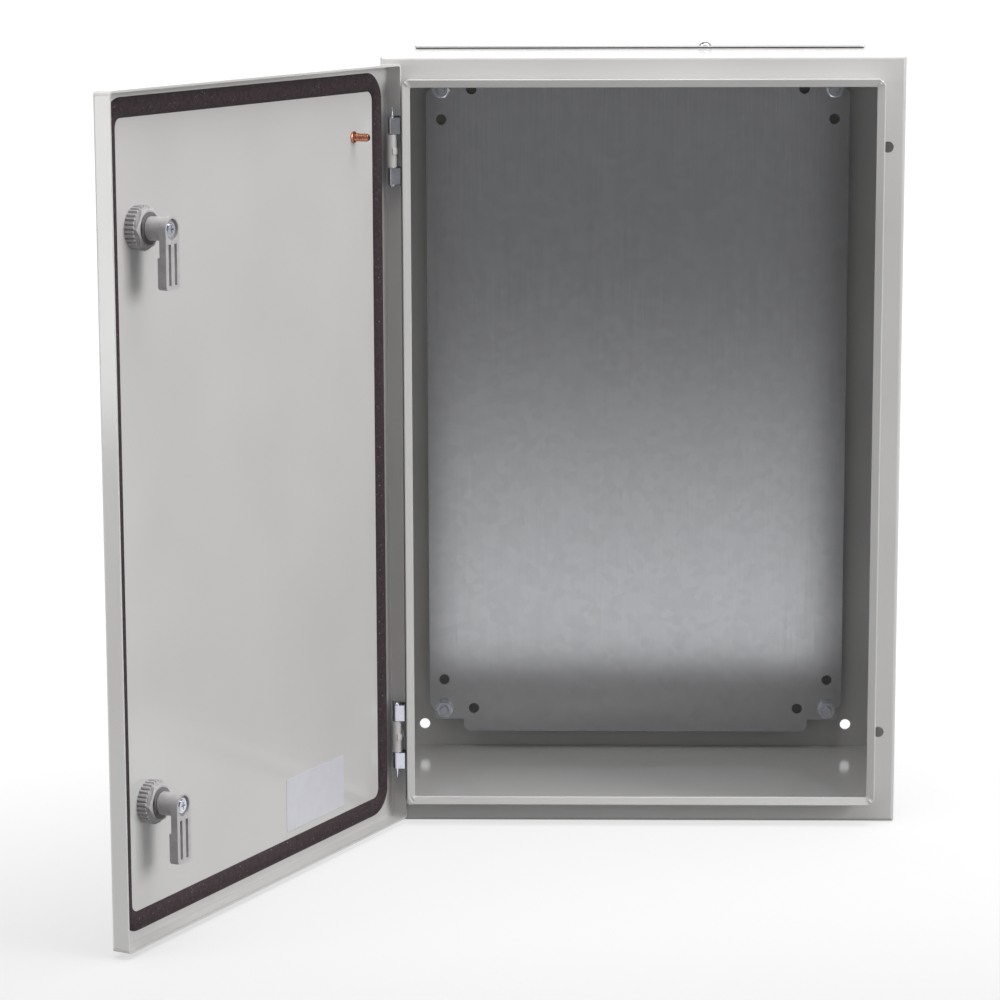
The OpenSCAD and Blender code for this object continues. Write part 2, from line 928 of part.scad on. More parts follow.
body_shell();
back_panel();
gland_seal();
gland_plate();
gland_screw();
gland_rivet_nut();
plate_studs();
mounting_plate();
plate_washers();
plate_nuts();
hinge_bracket(1);  // hinge_bracket_upper
hinge_bracket(-1);  // hinge_bracket_lower
hinge_nut(1);  // hinge_nut_upper
hinge_nut(-1);  // hinge_nut_lower
hinge_pin(1);  // hinge_pin_upper
hinge_pin(-1);  // hinge_pin_lower
door_panel();
door_seal();
door_knuckle(1);  // door_knuckle_upper
door_knuckle(-1);  // door_knuckle_lower
earth_stud();
blank_plate();
lock_body(1);  // lock_body_upper
lock_seal(1);  // lock_seal_upper
lock_ring(1);  // lock_ring_upper
lock_spindle(1);  // lock_spindle_upper
lock_lever(1);  // lock_lever_upper
lock_screw(1);  // lock_screw_upper
lock_body(-1);  // lock_body_lower
lock_seal(-1);  // lock_seal_lower
lock_ring(-1);  // lock_ring_lower
lock_spindle(-1);  // lock_spindle_lower
lock_lever(-1);  // lock_lever_lower
lock_screw(-1);  // lock_screw_lower
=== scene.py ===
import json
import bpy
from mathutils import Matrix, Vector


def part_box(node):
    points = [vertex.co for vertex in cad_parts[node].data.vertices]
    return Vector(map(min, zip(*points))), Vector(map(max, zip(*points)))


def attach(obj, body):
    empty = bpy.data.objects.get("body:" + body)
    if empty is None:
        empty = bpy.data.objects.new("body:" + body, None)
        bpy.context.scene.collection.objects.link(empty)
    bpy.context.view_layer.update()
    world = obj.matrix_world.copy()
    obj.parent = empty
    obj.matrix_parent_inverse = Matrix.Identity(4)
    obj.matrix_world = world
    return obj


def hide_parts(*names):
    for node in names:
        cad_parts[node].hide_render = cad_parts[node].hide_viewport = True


bl_info = {
    "name": "Wall Enclosure",
    "version": (1, 0, 0),
    "blender": (4, 5, 0),
    "location": "View3D > Sidebar > Enclosure",
    "description": "Finishes, seals, threads and welds of a sheet steel enclosure",
    "category": "Object",
}

from math import asin, cos, pi, radians, sin

import bmesh
import bpy
from bpy.props import FloatProperty, FloatVectorProperty, IntProperty, PointerProperty
from mathutils import Matrix, Vector, noise

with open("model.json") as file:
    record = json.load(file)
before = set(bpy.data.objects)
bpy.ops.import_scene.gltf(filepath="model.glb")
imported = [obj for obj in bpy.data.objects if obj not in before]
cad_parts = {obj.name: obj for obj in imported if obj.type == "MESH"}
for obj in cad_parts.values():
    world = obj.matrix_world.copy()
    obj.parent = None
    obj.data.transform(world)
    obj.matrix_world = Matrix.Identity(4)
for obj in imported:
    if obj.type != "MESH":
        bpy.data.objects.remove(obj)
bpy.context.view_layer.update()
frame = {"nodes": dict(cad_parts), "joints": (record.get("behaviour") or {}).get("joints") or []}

MM = 0.001
BODY_LOW, BODY_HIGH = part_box("body_shell")
JOINTS = {joint["name"]: joint for joint in frame["joints"]}
HINGE = Vector(JOINTS["door_swing"]["pos_m"])
OPEN_ANGLE = radians(max(JOINTS["door_swing"]["range_deg"]))

# Places on the sheet metal: the inner face of the closed door, and the outer
# corners of the lip round the door opening.
HINGE_TO_SKIN = 8.5 * MM
SIDE_TO_LIP = 16.8 * MM
SKIN_Y = HINGE.y - HINGE_TO_SKIN
LIP_X = BODY_HIGH.x - SIDE_TO_LIP
LIP_Z = BODY_HIGH.z - SIDE_TO_LIP

# Where the earth stud stands on the closed door, from the corner of the body.
EARTH_STUD_IN = 53.7 * MM
EARTH_STUD_DOWN = 58 * MM

# The camera stands in front of the enclosure, a little left of it and above it.
CAMERA_PLACE = (-0.051664, -2.854004, 0.422511)
CAMERA_PAN, CAMERA_TILT, CAMERA_ROLL = 1.273, -10.089, 0.169
LAMP_AIM = (0, -0.2, 0)

# Paper sweep, in metres: a floor, a round rise behind it and a backdrop.
PAPER_HALF_WIDTH = 7.0
PAPER_FRONT, PAPER_BACK = -5.0, 6.0
PAPER_RISE_RADIUS = 1.5
PAPER_BACKDROP = 3.0
UNDER_BODY = 0.5 * MM

# Points nearer than this are one point.
SAME_POINT = 0.001 * MM


def linear(hex_value):
    """Linear red, green and blue of an sRGB hex colour."""
    parts = [int(hex_value[i : i + 2], 16) / 255 for i in (0, 2, 4)]
    return tuple(
        p / 12.92 if p <= 0.04045 else ((p + 0.055) / 1.055) ** 2.4 for p in parts
    )


def from_closed():
    """The turn that carries the closed door to where it stands open."""
    return (
        Matrix.Translation(HINGE)
        @ Matrix.Rotation(-OPEN_ANGLE, 4, "Z")
        @ Matrix.Translation(-HINGE)
    )


# ---- sizes, colours and light that a user may change ----


class EnclosureFinish(bpy.types.PropertyGroup):
    """Colours and surface of the finishes."""

    paint_colour: FloatVectorProperty(
        name="Paint",
        description="Colour of the powder coat",
        subtype="COLOR",
        size=3,
        min=0,
        max=1,
        default=linear("CFCECD"),
    )
    paint_peel: FloatProperty(
        name="Orange peel",
        description="Distance between the waves of the powder coat",
        unit="LENGTH",
        default=1.6 * MM,
    )
    zinc_sheet_colour: FloatVectorProperty(
        name="Galvanised sheet",
        description="Colour of the galvanised mounting plate",
        subtype="COLOR",
        size=3,
        min=0,
        max=1,
        default=linear("B9BABD"),
    )
    zinc_plate_colour: FloatVectorProperty(
        name="Zinc plating",
        description="Colour of the plated hinges and fasteners",
        subtype="COLOR",
        size=3,
        min=0,
        max=1,
        default=linear("D8DBE4"),
    )
    foam_colour: FloatVectorProperty(
        name="Foam",
        description="Colour of the door seal",
        subtype="COLOR",
        size=3,
        min=0,
        max=1,
        default=linear("40363A"),
    )
    lock_colour: FloatVectorProperty(
        name="Lock plastic",
        description="Colour of the ring nut and the lever of a lock",
        subtype="COLOR",
        size=3,
        min=0,
        max=1,
        default=linear("BDBABC"),
    )
    copper_colour: FloatVectorProperty(
        name="Copper plating",
        description="Colour of the earth stud",
        subtype="COLOR",
        size=3,
        min=0,
        max=1,
        default=linear("C6886F"),
    )
    film_colour: FloatVectorProperty(
        name="Blank film",
        description="Colour of the blank rating plate",
        subtype="COLOR",
        size=3,
        min=0,
        max=1,
        default=linear("D4D4DC"),
    )


class EnclosureSizes(bpy.types.PropertyGroup):
    """Sizes of the pieces that dress the sheet metal."""

    seal_width: FloatProperty(
        name="Seal width",
        description="Width of the foam door seal",
        unit="LENGTH",
        default=14 * MM,
    )
    seal_inset: FloatProperty(
        name="Seal inset",
        description="Distance of the middle of the seal from the side of the body",
        unit="LENGTH",
        default=18.2 * MM,
    )
    seal_corner: FloatProperty(
        name="Seal corner",
        description="Radius of the seal's corners, at its middle",
        unit="LENGTH",
        default=14 * MM,
    )
    stud_pitch: FloatProperty(
        name="Stud pitch",
        description="Pitch of the M8 studs that hold the mounting plate",
        unit="LENGTH",
        default=1.25 * MM,
    )
    earth_pitch: FloatProperty(
        name="Earth stud pitch",
        description="Pitch of the M6 earth stud",
        unit="LENGTH",
        default=1.0 * MM,
    )
    bead_steps: IntProperty(
        name="Bead steps",
        description="Segments of each half of the seal's round profile",
        default=7,
        min=3,
        max=12,
    )


class EnclosureStage(bpy.types.PropertyGroup):
    """Lamps, floor and camera."""

    top_lamp: FloatProperty(
        name="Top lamp",
        description="Power of the soft box above the enclosure, in watts",
        default=70,
        min=0,
    )
    side_lamp: FloatProperty(
        name="Side lamp",
        description="Power of the soft box at the front right, in watts",
        default=52,
        min=0,
    )
    left_lamp: FloatProperty(
        name="Left lamp",
        description="Power of the soft box at the front left, in watts",
        default=30,
        min=0,
    )
    surround: FloatProperty(
        name="Surround",
        description="Brightness of the studio around the enclosure",
        default=0.25,
        min=0,
        max=1,
    )
    paper_glow: FloatProperty(
        name="Paper glow",
        description="How much whiter the background paper looks than it is lit",
        default=0.8,
        min=0,
        max=1,
    )
    lens: FloatProperty(
        name="Lens",
        description="Focal length of the camera",
        subtype="DISTANCE_CAMERA",
        unit="CAMERA",
        default=122.95,
    )


# ---- materials ----


def node(tree, kind, inputs=None, **settings):
    """Adds one shader node with its settings, its values and its links."""
    added = tree.nodes.new(kind)
    for name, value in settings.items():
        setattr(added, name, value)
    for name, value in (inputs or {}).items():
        if isinstance(value, bpy.types.NodeSocket):
            tree.links.new(value, added.inputs[name])
        else:
            added.inputs[name].default_value = value
    return added


def start_material(name, colour, **values):
    """A new material with a Principled surface, and the object's own coordinates."""
    material = bpy.data.materials.new(name)
    material.use_nodes = True
    tree = material.node_tree
    tree.nodes.clear()
    values["Base Color"] = (*colour, 1)
    shader = node(tree, "ShaderNodeBsdfPrincipled", values)
    node(tree, "ShaderNodeOutputMaterial", {"Surface": shader.outputs["BSDF"]})
    place = node(tree, "ShaderNodeTexCoord").outputs["Object"]
    material.diffuse_color = (*colour, 1)
    return material, tree, shader, place


def shades(tree, factor, dark, light, low, high):
    """A colour that follows a pattern from a dark shade to a light one."""
    ramp = node(tree, "ShaderNodeValToRGB", {"Fac": factor})
    ramp.color_ramp.elements[0].position = low
    ramp.color_ramp.elements[0].color = (*dark, 1)
    ramp.color_ramp.elements[1].position = high
    ramp.color_ramp.elements[1].color = (*light, 1)
    return ramp.outputs["Color"]


def tinted(colour, factor):
    """A darker or lighter tint of a colour."""
    return tuple(min(1, c * factor) for c in colour)


def lay_on(tree, shader, tone, gloss=None, relief=None):
    """Leads the tone, gloss and relief of a finish to its shader.

    Gloss is (pattern, smoothest, roughest), and after them the span of the pattern
    where that isn't 0 to 1. Relief is (pattern, strength, depth)."""
    tree.links.new(tone, shader.inputs["Base Color"])
    if gloss:
        pattern, smoothest, roughest, *span = gloss
        low, high = span or (0, 1)
        spread = node(
            tree,
            "ShaderNodeMapRange",
            {
                "Value": pattern,
                "From Min": low,
                "From Max": high,
                "To Min": smoothest,
                "To Max": roughest,
            },
        )
        tree.links.new(spread.outputs["Result"], shader.inputs["Roughness"])
    if relief:
        pattern, strength, depth = relief
        bump = node(
            tree,
            "ShaderNodeBump",
            {"Height": pattern, "Strength": strength, "Distance": depth},
        )
        tree.links.new(bump.outputs["Normal"], shader.inputs["Normal"])


def powder_coat(finish):
    """Light grey polyester powder coat, stoved: a clear gloss over a fine orange peel."""
    colour = tuple(finish.paint_colour)
    material, tree, shader, place = start_material(
        "powder_coat_light_grey", colour, Metallic=0.0, Roughness=0.1, IOR=1.5
    )
    # Waves of the melted powder, one every 1.6 mm, that break up the reflections.
    peel = node(
        tree,
        "ShaderNodeTexNoise",
        {"Vector": place, "Scale": 1 / finish.paint_peel, "Detail": 2.0},
    )
    # The coat is a little thicker here and there, over about 90 mm.
    cloud = node(
        tree,
        "ShaderNodeTexNoise",
        {"Vector": place, "Scale": 1 / (90 * MM), "Detail": 1.0},
    )
    tone = shades(
        tree, cloud.outputs["Fac"], tinted(colour, 0.975), tinted(colour, 1.02), 0.3, 0.7
    )
    lay_on(
        tree,
        shader,
        tone,
        gloss=(cloud.outputs["Fac"], 0.08, 0.13),
        relief=(peel.outputs["Fac"], 0.32, 0.12 * MM),
    )
    return material


def galvanised_sheet(finish):
    """Continuously galvanised sheet: satin, with roller lines and a faint spangle."""
    colour = tuple(finish.zinc_sheet_colour)
    material, tree, shader, place = start_material(
        "galvanised_steel_sheet", colour, Metallic=1.0, Roughness=0.22
    )
    # Roller lines lie 0.7 mm apart and run the length of the sheet, here upright.
    upright = node(tree, "ShaderNodeMapping", {"Vector": place, "Scale": (1, 1, 0.012)})
    lines = node(
        tree,
        "ShaderNodeTexNoise",
        {
            "Vector": upright.outputs["Vector"],
            "Scale": 1 / (0.7 * MM),
            "Detail": 3.0,
            "Roughness": 0.6,
        },
    )
    # The crystals of the zinc are about 7 mm across, and nearly of one grey.
    spangle = node(
        tree,
        "ShaderNodeTexVoronoi",
        {"Vector": place, "Scale": 1 / (7 * MM), "Randomness": 1.0},
        feature="F1",
    )
    grey = node(tree, "ShaderNodeSeparateColor", {"Color": spangle.outputs["Color"]})
    tone = shades(
        tree, grey.outputs["Red"], tinted(colour, 0.965), tinted(colour, 1.03), 0.0, 1.0
    )
    lay_on(
        tree,
        shader,
        tone,
        gloss=(lines.outputs["Fac"], 0.19, 0.25, 0.3, 0.7),
        relief=(lines.outputs["Fac"], 0.12, 0.03 * MM),
    )
    return material


def zinc_plating(finish):
    """Bright zinc plating, blue passivated: almost a mirror, with a cold tint."""
    colour = tuple(finish.zinc_plate_colour)
    material, tree, shader, place = start_material(
        "zinc_plated_blue_passivated", colour, Metallic=1.0, Roughness=0.2
    )
    # The plating follows the drawn strip under it, whose grain is about 0.5 mm.
    grain = node(
        tree,
        "ShaderNodeTexNoise",
        {"Vector": place, "Scale": 1 / (0.5 * MM), "Detail": 3.0},
    )
    # The passivation clouds it over about 6 mm.
    haze = node(
        tree,
        "ShaderNodeTexNoise",
        {"Vector": place, "Scale": 1 / (6 * MM), "Detail": 2.0},
    )
    tone = shades(
        tree, haze.outputs["Fac"], tinted(colour, 0.90), tinted(colour, 1.04), 0.35, 0.65
    )
    lay_on(
        tree,
        shader,
        tone,
        gloss=(haze.outputs["Fac"], 0.13, 0.30),
        relief=(grain.outputs["Fac"], 0.18, 0.05 * MM),
    )
    return material


def foam_rubber(finish):
    """Polyurethane foam poured as a bead: dull skin with open pores and pale dust."""
    colour = tuple(finish.foam_colour)
    material, tree, shader, place = start_material(
        "polyurethane_foam_poured", colour, Metallic=0.0, Roughness=0.82, IOR=1.45
    )
    # Open pores scatter light, so the skin mirrors half as much as a closed one.
    shader.inputs["Specular IOR Level"].default_value = 0.25
    # Real pores are about 0.4 mm across; drawn 0.9 mm across so that they show.
    pores = node(
        tree,
        "ShaderNodeTexVoronoi",
        {"Vector": place, "Scale": 1 / (0.9 * MM), "Randomness": 1.0},
        feature="F1",
    )
    # The skin of the foam sets a little lighter and darker over about 3 mm.
    flow = node(
        tree,
        "ShaderNodeTexNoise",
        {"Vector": place, "Scale": 1 / (3 * MM), "Detail": 3.0},
    )
    tone = shades(
        tree, flow.outputs["Fac"], tinted(colour, 0.78), tinted(colour, 1.18), 0.32, 0.68
    )
    # Dust specks about 0.5 mm across, some 15 mm apart.
    dust = node(
        tree,
        "ShaderNodeTexNoise",
        {"Vector": place, "Scale": 1 / (1.3 * MM), "Detail": 0.0},
    )
    speck = shades(tree, dust.outputs["Fac"], (0, 0, 0), (1, 1, 1), 0.80, 0.83)
    # Sockets 6 and 7 are the two colours that the node mixes, and 2 is their mix.
    dusted = node(
        tree,
        "ShaderNodeMix",
        {"Factor": speck, 6: tone, 7: (*linear("8C7E7B"), 1)},
        data_type="RGBA",
    )
    relief = (pores.outputs["Distance"], 0.45, 0.2 * MM)
    lay_on(tree, shader, dusted.outputs[2], relief=relief)
    return material


def sheet_rubber():
    """Black sheet rubber, cut: dull, with a fine talc bloom."""
    colour = linear("242325")
    material, tree, shader, place = start_material(
        "black_sheet_rubber", colour, Metallic=0.0, Roughness=0.62, IOR=1.52
    )
    # Talc lies in patches of about 2 mm.
    bloom = node(
        tree,
        "ShaderNodeTexNoise",
        {"Vector": place, "Scale": 1 / (2 * MM), "Detail": 4.0},
    )
    tone = shades(
        tree, bloom.outputs["Fac"], tinted(colour, 0.8), linear("3A393B"), 0.4, 0.75
    )
    lay_on(tree, shader, tone, relief=(bloom.outputs["Fac"], 0.25, 0.08 * MM))
    return material


def moulded_polyamide(finish, name, shade):
    """Glass filled polyamide, moulded: satin, with flow marks of the glass fibre."""
    colour = tinted(tuple(finish.lock_colour), shade)
    material, tree, shader, place = start_material(
        name, colour, Metallic=0.0, Roughness=0.42, IOR=1.53
    )
    # Spark eroded mould texture, 0.35 mm, and fibre flow over about 5 mm.
    mould = node(
        tree,
        "ShaderNodeTexNoise",
        {"Vector": place, "Scale": 1 / (0.35 * MM), "Detail": 2.0},
    )
    flow = node(
        tree,
        "ShaderNodeTexNoise",
        {"Vector": place, "Scale": 1 / (5 * MM), "Detail": 3.0, "Distortion": 0.6},
    )
    tone = shades(
        tree, flow.outputs["Fac"], tinted(colour, 0.90), tinted(colour, 1.08), 0.3, 0.7
    )
    lay_on(
        tree,
        shader,
        tone,
        gloss=(flow.outputs["Fac"], 0.34, 0.50),
        relief=(mould.outputs["Fac"], 0.2, 0.06 * MM),
    )
    return material


def copper_plating(finish):
    """Copper plated steel: warm and bright, a little dulled in patches."""
    colour = tuple(finish.copper_colour)
    material, tree, shader, place = start_material(
        "copper_plated_steel", colour, Metallic=1.0, Roughness=0.24
    )
    # Tarnish comes in patches of about 2 mm.
    tarnish = node(
        tree,
        "ShaderNodeTexNoise",
        {"Vector": place, "Scale": 1 / (2.2 * MM), "Detail": 3.0},
    )
    dark, light = tinted(colour, 0.66), tinted(colour, 1.15)
    tone = shades(tree, tarnish.outputs["Fac"], dark, light, 0.32, 0.62)
    lay_on(tree, shader, tone, gloss=(tarnish.outputs["Fac"], 0.16, 0.36))
    return material


def polyester_film(finish):
    """White polyester film, printed blank: smooth, with a soft sheen and faint waves."""
    colour = tuple(finish.film_colour)
    material, tree, shader, place = start_material(
        "white_polyester_film", colour, Metallic=0.0, Roughness=0.28, IOR=1.6
    )
    # The film lies in waves of about 9 mm over its glue.
    wave = node(
        tree,
        "ShaderNodeTexNoise",
        {"Vector": place, "Scale": 1 / (9 * MM), "Detail": 1.0},
    )
    tone = shades(
        tree, wave.outputs["Fac"], tinted(colour, 0.97), tinted(colour, 1.02), 0.3, 0.7
    )
    lay_on(tree, shader, tone, relief=(wave.outputs["Fac"], 0.15, 0.2 * MM))
    return material


FINISHES = {}

NODE_FINISH = {
    "powder_coat": (
        "body_shell",
        "back_panel",
        "gland_plate",
        "door_panel",
        "door_knuckle_upper",
        "door_knuckle_lower",
    ),
    "galvanised": ("mounting_plate",),
    "zinc": (
        "gland_screw",
        "gland_rivet_nut",
        "plate_studs",
        "plate_washers",
        "plate_nuts",
        "hinge_bracket_upper",
        "hinge_bracket_lower",
        "hinge_nut_upper",
        "hinge_nut_lower",
        "hinge_pin_upper",
        "hinge_pin_lower",
        "lock_screw_upper",
        "lock_screw_lower",
    ),
    "film": ("blank_plate",),
    "lock_light": (
        "lock_ring_upper",
        "lock_ring_lower",
        "lock_lever_upper",
        "lock_lever_lower",
        "lock_spindle_upper",
        "lock_spindle_lower",
    ),
    "lock_dark": ("lock_body_upper", "lock_body_lower"),
    "copper": ("earth_stud",),
    "rubber": ("gland_seal", "lock_seal_upper", "lock_seal_lower"),
    "foam": ("door_seal",),
}


class ENCLOSURE_OT_finishes(bpy.types.Operator):
    """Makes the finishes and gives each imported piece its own"""

    bl_idname = "enclosure.finishes"
    bl_label = "Finishes"

    def execute(self, context):
        finish = context.scene.enclosure_finish
        FINISHES.update(
            powder_coat=powder_coat(finish),
            galvanised=galvanised_sheet(finish),
            zinc=zinc_plating(finish),
            foam=foam_rubber(finish),
            rubber=sheet_rubber(),
            lock_light=moulded_polyamide(finish, "polyamide_grey", 1.0),
            lock_dark=moulded_polyamide(finish, "polyamide_dark_grey", 0.34),
            copper=copper_plating(finish),
            film=polyester_film(finish),
        )
        for key, names in NODE_FINISH.items():
            for name in names:
                mesh = frame["nodes"][name].data
                mesh.materials.clear()
                mesh.materials.append(FINISHES[key])
        return {"FINISHED"}


# ---- making pieces ----


def object_from(bm, name, material):
    """Turns a bmesh into a smooth object of one material."""
    mesh = bpy.data.meshes.new(name)
    bm.to_mesh(mesh)
    bm.free()
    if not mesh.polygons:
        raise RuntimeError(f"{name} has no faces")
    mesh.polygons.foreach_set("use_smooth", [True] * len(mesh.polygons))
    mesh.materials.append(material)
    made = bpy.data.objects.new(name, mesh)
    bpy.context.scene.collection.objects.link(made)
    return made


def finish_piece(bm, name, body, finish, replaces=(), smooth=35):
    """Turns a bmesh into a piece that rides on a body."""
    bmesh.ops.remove_doubles(bm, verts=bm.verts, dist=SAME_POINT)
    bmesh.ops.recalc_face_normals(bm, faces=bm.faces)
    piece = object_from(bm, name, FINISHES[finish])
    piece.data.set_sharp_from_angle(angle=radians(smooth))
    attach(piece, body)
    if replaces:
        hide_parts(*replaces)


def new_verts(made):
    """The new points of an extrusion."""
    return [v for v in made["geom"] if isinstance(v, bmesh.types.BMVert)]


def new_edges(made):
    """The new edges of an extrusion, without those that lead to them."""
    verts = new_verts(made)
    edges = [e for e in made["geom"] if isinstance(e, bmesh.types.BMEdge)]
    return [e for e in edges if all(v in verts for v in e.verts)]


def last_edges(made):
    """The edges where a spin ended."""
    return [e for e in made["geom_last"] if isinstance(e, bmesh.types.BMEdge)]


def loop_at(bm, points):
    """One closed ring of edges through the points."""
    corners = [bm.verts.new(p) for p in points]
    return [bm.edges.new((corners[i - 1], corners[i])) for i in range(len(corners))]


def swept_frame(bm, points, width, height, radius, middle, steps=10):
    """Sweeps a ring of points round a rectangle with round corners, in X and Z.

    The points are (outward, along Y) from the rectangle's line."""
    half_w, half_h = width / 2, height / 2
    start = middle + Vector((half_w, 0, half_h - radius))
    ring = loop_at(bm, [start + Vector((p[0], p[1], 0)) for p in points])
    for side in range(4):
        turn = Matrix.Rotation(side * pi / 2, 3, "Y")
        long = (height if side % 2 == 0 else width) - 2 * radius
        made = bmesh.ops.extrude_edge_only(bm, edges=ring)
        verts = new_verts(made)
        ring = new_edges(made)
        bmesh.ops.translate(bm, verts=verts, vec=turn @ Vector((0, 0, -long)))
        corner = middle + turn @ Vector(
            (
                (half_w if side % 2 == 0 else half_h) - radius,
                0,
                -(half_h if side % 2 == 0 else half_w) + radius,
            )
        )
        made = bmesh.ops.spin(
            bm,
            geom=ring + verts,
            cent=corner,
            axis=(0, 1, 0),
            angle=pi / 2,
            steps=steps,
            use_duplicate=False,
        )
        ring = last_edges(made)
    bmesh.ops.remove_doubles(bm, verts=bm.verts, dist=2 * SAME_POINT)


def bead_points(width, height, steps):
    """A low round bead, from one foot over the top to the other foot."""
    r = (width * width / 4 + height * height) / (2 * height)
    half = asin(width / 2 / r)
    turns = [half * (i / steps - 1) for i in range(2 * steps + 1)]
    return [(r * sin(t), height - r + r * cos(t)) for t in turns]


class ENCLOSURE_OT_door_seal(bpy.types.Operator):
    """Foam seal of the door: a low round bead, poured in one run"""

    bl_idname = "enclosure.door_seal"
    bl_label = "Door seal"

    def execute(self, context):
        sizes = context.scene.enclosure_sizes
        clear_of_lip = 0.4 * MM
        height = BODY_LOW.y - SKIN_Y - clear_of_lip
        span_x = BODY_HIGH.x - BODY_LOW.x - 2 * sizes.seal_inset
        span_z = BODY_HIGH.z - BODY_LOW.z - 2 * sizes.seal_inset
        bm = bmesh.new()
        swept_frame(
            bm,
            bead_points(sizes.seal_width, height, sizes.bead_steps),
            span_x,
            span_z,
            sizes.seal_corner,
            Vector((0, SKIN_Y, 0)),
            steps=12,
        )
        bmesh.ops.transform(bm, matrix=from_closed(), verts=bm.verts)
        finish_piece(bm, "foam_seal", "door", "foam", ["door_seal"], smooth=50)
        return {"FINISHED"}


class ENCLOSURE_OT_gaskets(bpy.types.Operator):
    """Rubber gaskets under the gland plate and under the locks"""

    bl_idname = "enclosure.gaskets"
    bl_label = "Gaskets"

    def execute(self, context):
        # Under the gland plate: a flat frame, squeezed so that its edges bulge.
        low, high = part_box("gland_seal")
        thick = high.z - low.z
        rim = 14 * MM
        corner = 8 * MM
        bulge = thick * 0.45
        half = rim / 2
        points = [
            (-half, 0),
            (-half - bulge, thick / 2),
            (-half, thick),
            (half, thick),
            (half + bulge, thick / 2),
            (half, 0),
        ]
        bm = bmesh.new()
        swept_frame(
            bm,
            points,
            high.x - low.x - rim,
            high.y - low.y - rim,
            corner,
            Vector((0, 0, 0)),
            steps=8,
        )
        lay = Matrix.Translation(((low.x + high.x) / 2, (low.y + high.y) / 2, low.z))
        lay = lay @ Matrix.Rotation(pi / 2, 4, "X")
        bmesh.ops.transform(bm, matrix=lay, verts=bm.verts)
        finish_piece(
            bm, "gland_gasket", "enclosure", "rubber", ["gland_seal"]
        )
        # Under each lock: a washer, squeezed in the same way. Sizes in millimetres.
        bore, rim, half = 11.4, 14.4, 0.5
        ring = [
            (bore, -half),
            (rim, -half),
            (rim + 0.35, 0),
            (rim, half),
            (bore, half),
            (bore - 0.1, 0),
        ]
        for side in ("upper", "lower"):
            low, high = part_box(f"lock_seal_{side}")
            middle = (low + high) / 2
            axis = Vector(JOINTS[f"lock_turn_{side}"]["axis"]).normalized()
            across = Vector((0, 0, 1))
            bm = bmesh.new()
            edges = loop_at(
                bm, [middle + across * u * MM + axis * v * MM for u, v in ring]
            )
            bmesh.ops.spin(
                bm,
                geom=edges + [e.verts[0] for e in edges],
                cent=middle,
                axis=axis,
                angle=2 * pi,
                steps=48,
                use_merge=True,
                use_duplicate=False,
            )
            finish_piece(
                bm,
                f"lock_gasket_{side}",
                "door",
                "rubber",
                [f"lock_seal_{side}"],
            )
        return {"FINISHED"}


def chain_at(bm, places):
    """An open chain of edges through some places, with its points first."""
    points = [bm.verts.new(place) for place in places]
    return points + [bm.edges.new(points[i : i + 2]) for i in range(len(points) - 1)]


def spun_outline(bm, outline, foot, along, steps):
    """A turned piece from its half outline, as (radius, height) in millimetres."""
    along = along.normalized()
    across = along.orthogonal().normalized()
    places = [foot + across * u * MM + along * v * MM for u, v in outline]
    bmesh.ops.spin(
        bm,
        geom=chain_at(bm, places),
        cent=foot,
        axis=along,
        angle=2 * pi,
        steps=steps,
        use_merge=True,
        use_duplicate=False,
    )
    bmesh.ops.remove_doubles(bm, verts=bm.verts, dist=SAME_POINT)


def threaded_rod(bm, foot, along, radius, pitch, length, root_of, steps=20):
    """A thread: the profile of one flank, spun up the rod from its foot.

    The root of the thread lies at root_of times its radius."""
    along = along.normalized()
    across = along.orthogonal().normalized()
    root = radius * root_of
    turns = int(length / pitch) - 1
    flank = [
        (root, 0.0),
        (radius, 0.40 * pitch),
        (radius, 0.55 * pitch),
        (root, 0.95 * pitch),
        (root, pitch),
    ]
    bmesh.ops.spin(
        bm,
        geom=chain_at(bm, [foot + across * u + along * v for u, v in flank]),
        cent=foot,
        axis=along,
        dvec=along * (pitch / steps),
        angle=2 * pi * turns,
        steps=steps * turns,
        use_duplicate=False,
    )


class ENCLOSURE_OT_threads(bpy.types.Operator):
    """Earth stud on the door, and the threads of the four plate studs"""

    bl_idname = "enclosure.threads"
    bl_label = "Threads"

    def execute(self, context):
        sizes = context.scene.enclosure_sizes
        # Earth stud: a weld flange, a threaded shank and a plain bevelled end.
        bm = bmesh.new()
        foot = Vector((BODY_LOW.x + EARTH_STUD_IN, SKIN_Y, BODY_HIGH.z - EARTH_STUD_DOWN))
        inward = Vector((0, 1, 0))
        outline = [
            (0, 0),
            (4.4, 0),
            (4.4, 0.9),
            (4.1, 1.2),
            (2.62, 1.5),
            (2.55, 1.9),
            (2.55, 12.6),
            (2.2, 13.4),
            (1.5, 13.6),
            (0, 13.6),
        ]
        spun_outline(bm, outline, foot, inward, 32)
        threaded_rod(
            bm,
            foot + inward * 1.7 * MM,
            inward,
            radius=2.98 * MM,
            pitch=sizes.earth_pitch,
            length=11.4 * MM,
            root_of=0.845,
        )
        bmesh.ops.transform(bm, matrix=from_closed(), verts=bm.verts)
        finish_piece(bm, "earth_stud_m6", "door", "copper", ["earth_stud"], 40)
        # Plate studs: the threads that stand out of the nuts.
        studs_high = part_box("plate_studs")[1]
        nuts_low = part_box("plate_nuts")[0]
        shoulder_radius = 7 * MM
        inside_nut = 0.9 * MM
        x_mid = studs_high.x - shoulder_radius
        z_mid = studs_high.z - shoulder_radius
        bm = bmesh.new()
        for sx in (-1, 1):
            for sz in (-1, 1):
                threaded_rod(
                    bm,
                    Vector((sx * x_mid, nuts_low.y + inside_nut, sz * z_mid)),
                    Vector((0, -1, 0)),
                    radius=3.97 * MM,
                    pitch=sizes.stud_pitch,
                    length=4.9 * MM,
                    root_of=0.93,
                )
        finish_piece(bm, "stud_threads", "enclosure", "zinc", smooth=40)
        return {"FINISHED"}


